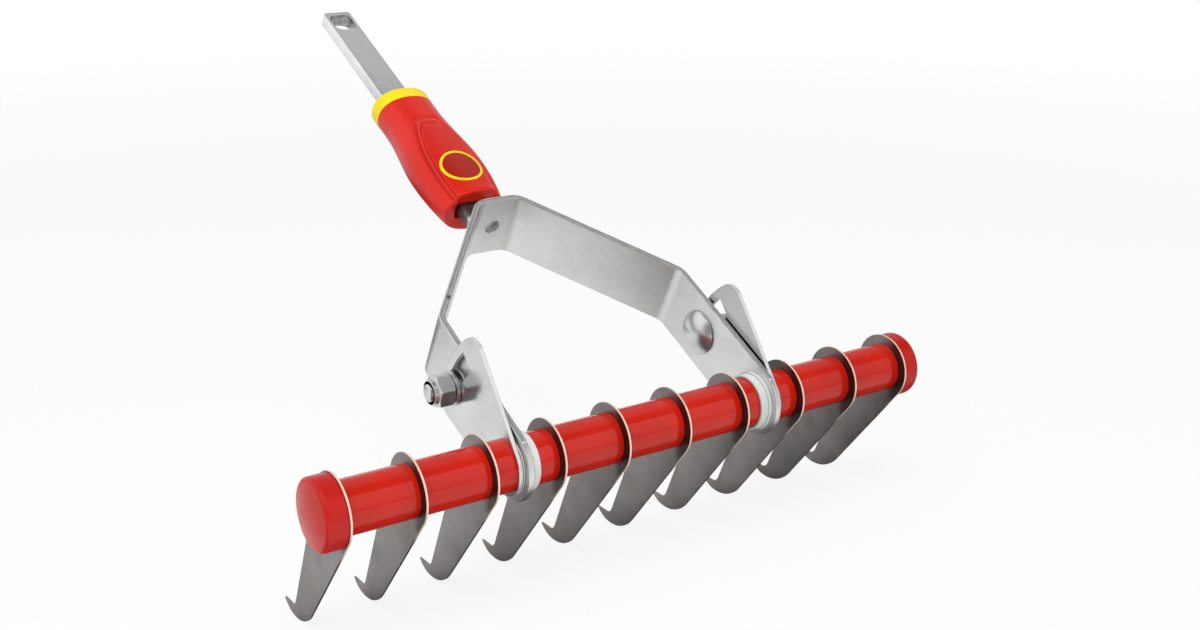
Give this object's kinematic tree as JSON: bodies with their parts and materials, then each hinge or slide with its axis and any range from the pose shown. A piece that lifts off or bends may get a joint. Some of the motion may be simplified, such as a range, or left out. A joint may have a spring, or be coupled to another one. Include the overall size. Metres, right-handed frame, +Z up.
{
  "type": "thatch rake",
  "caption": "Thatch rake head: a row of hooked steel tines on a red roller that swings with its slotted link plates in a bent strip yoke, and a plug-in handle tang with a red sleeve.",
  "frame": {"origin": "middle of the collar's upper face on the tang's centre line, where the handle's socket seats", "axes": "+X along the roller, towards the right end as seen from the hooks' side; +Y level, from the roller towards the handle; +Z up, the tines hang down and the tang rises at 27.4 degrees towards +Y"},
  "size_m": [0.3204, 0.3192, 0.2234],
  "materials": {
    "tine_steel": "satin sheet steel with bright cut edges",
    "red_tube": "glossy red",
    "zinc_plate": "zinc plated sheet, satin",
    "zinc_strip": "zinc plated strip, satin",
    "zinc_fastener": "bright zinc plating",
    "shaft_steel": "bright drawn bar",
    "red_cap": "moulded, satin",
    "white_bush": "moulded acetal, satin",
    "nylon": "moulded nylon",
    "tang_steel": "zinc plated flat bar with rolled edges",
    "sleeve_plastic": "glossy moulded red",
    "collar_plastic": "glossy moulded yellow"
  },
  "bodies": {
    "tool": {"bush_left": "white_bush", "bush_right": "white_bush", "yoke": "zinc_strip", "carriage_bolt_left": "zinc_fastener", "carriage_bolt_right": "zinc_fastener", "gap_washers": "zinc_fastener", "nut_washers": "zinc_fastener", "lock_nut_left": "zinc_fastener", "lock_nut_right": "zinc_fastener", "nut_rings": "nylon", "tang": "tang_steel", "sleeve": "sleeve_plastic", "collar": "collar_plastic"},
    "roller": {"tine_1": "tine_steel", "tine_2": "tine_steel", "tine_3": "tine_steel", "tine_4": "tine_steel", "tine_5": "tine_steel", "tine_6": "tine_steel", "tine_7": "tine_steel", "tine_8": "tine_steel", "tine_9": "tine_steel", "tine_10": "tine_steel", "spacer_1": "red_tube", "spacer_2": "red_tube", "spacer_3": "red_tube", "spacer_4": "red_tube", "spacer_5": "red_tube", "spacer_6": "red_tube", "spacer_7": "red_tube", "short_spacer_left": "red_tube", "short_spacer_right": "red_tube", "journal_left": "red_tube", "journal_right": "red_tube", "link_plate_left": "zinc_plate", "link_plate_right": "zinc_plate", "roller_shaft": "shaft_steel", "shaft_nut_left": "shaft_steel", "shaft_nut_right": "shaft_steel", "end_cap_left": "red_cap", "end_cap_right": "red_cap"}
  },
  "joints": [
    {"name": "roller_swing", "type": "hinge", "parent": "tool", "child": "roller", "pos_m": [0, -0.22457, -0.11218], "axis": [1, 0, 0], "range_deg": [-20, 1]}
  ]
}
